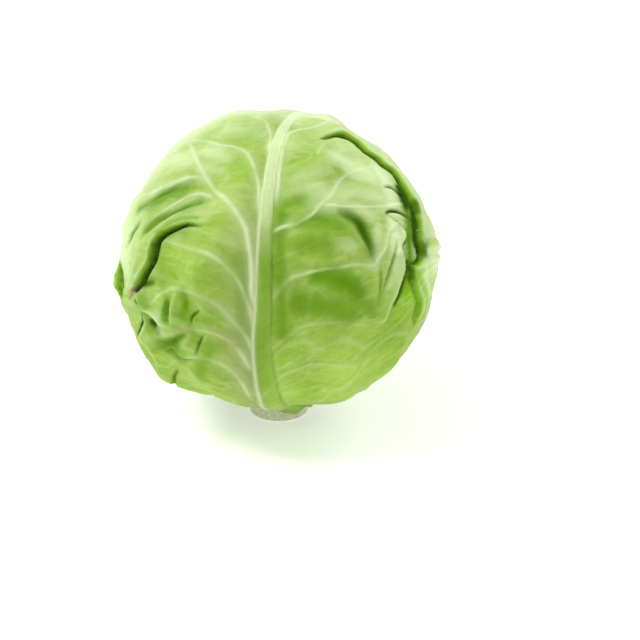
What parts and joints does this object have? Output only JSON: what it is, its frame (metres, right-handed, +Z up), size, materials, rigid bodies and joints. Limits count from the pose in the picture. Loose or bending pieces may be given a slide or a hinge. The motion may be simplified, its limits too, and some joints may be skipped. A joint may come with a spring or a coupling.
{
  "type": "green cabbage",
  "caption": "Whole round head of green cabbage on its cut stem, with ribbed and waved outer leaves wrapped over a dense head.",
  "frame": {"origin": "middle of the cut face of the stem, which the head stands on", "axes": "+Z up through the head, -Y through the front, about where the outermost leaf's midrib is, +X to its right"},
  "size_m": [0.1811, 0.1752, 0.1779],
  "materials": {
    "stem": "cut plant stem, pale green-white, moist and slightly rough",
    "inner_leaf": "cabbage leaf, pale yellow-green, smooth with a light waxy sheen",
    "outer_leaf": "cabbage leaf, fresh green with pale ribs and veins and a dull waxy bloom"
  },
  "bodies": {
    "root": {"stem": "stem", "inner_head": "inner_leaf", "wrapper_leaf_1": "outer_leaf", "wrapper_leaf_2": "outer_leaf", "wrapper_leaf_3": "outer_leaf", "wrapper_leaf_4": "outer_leaf", "wrapper_leaf_5": "outer_leaf", "wrapper_leaf_6": "outer_leaf", "wrapper_leaf_7": "outer_leaf", "wrapper_leaf_8": "outer_leaf"}
  },
  "joints": []
}
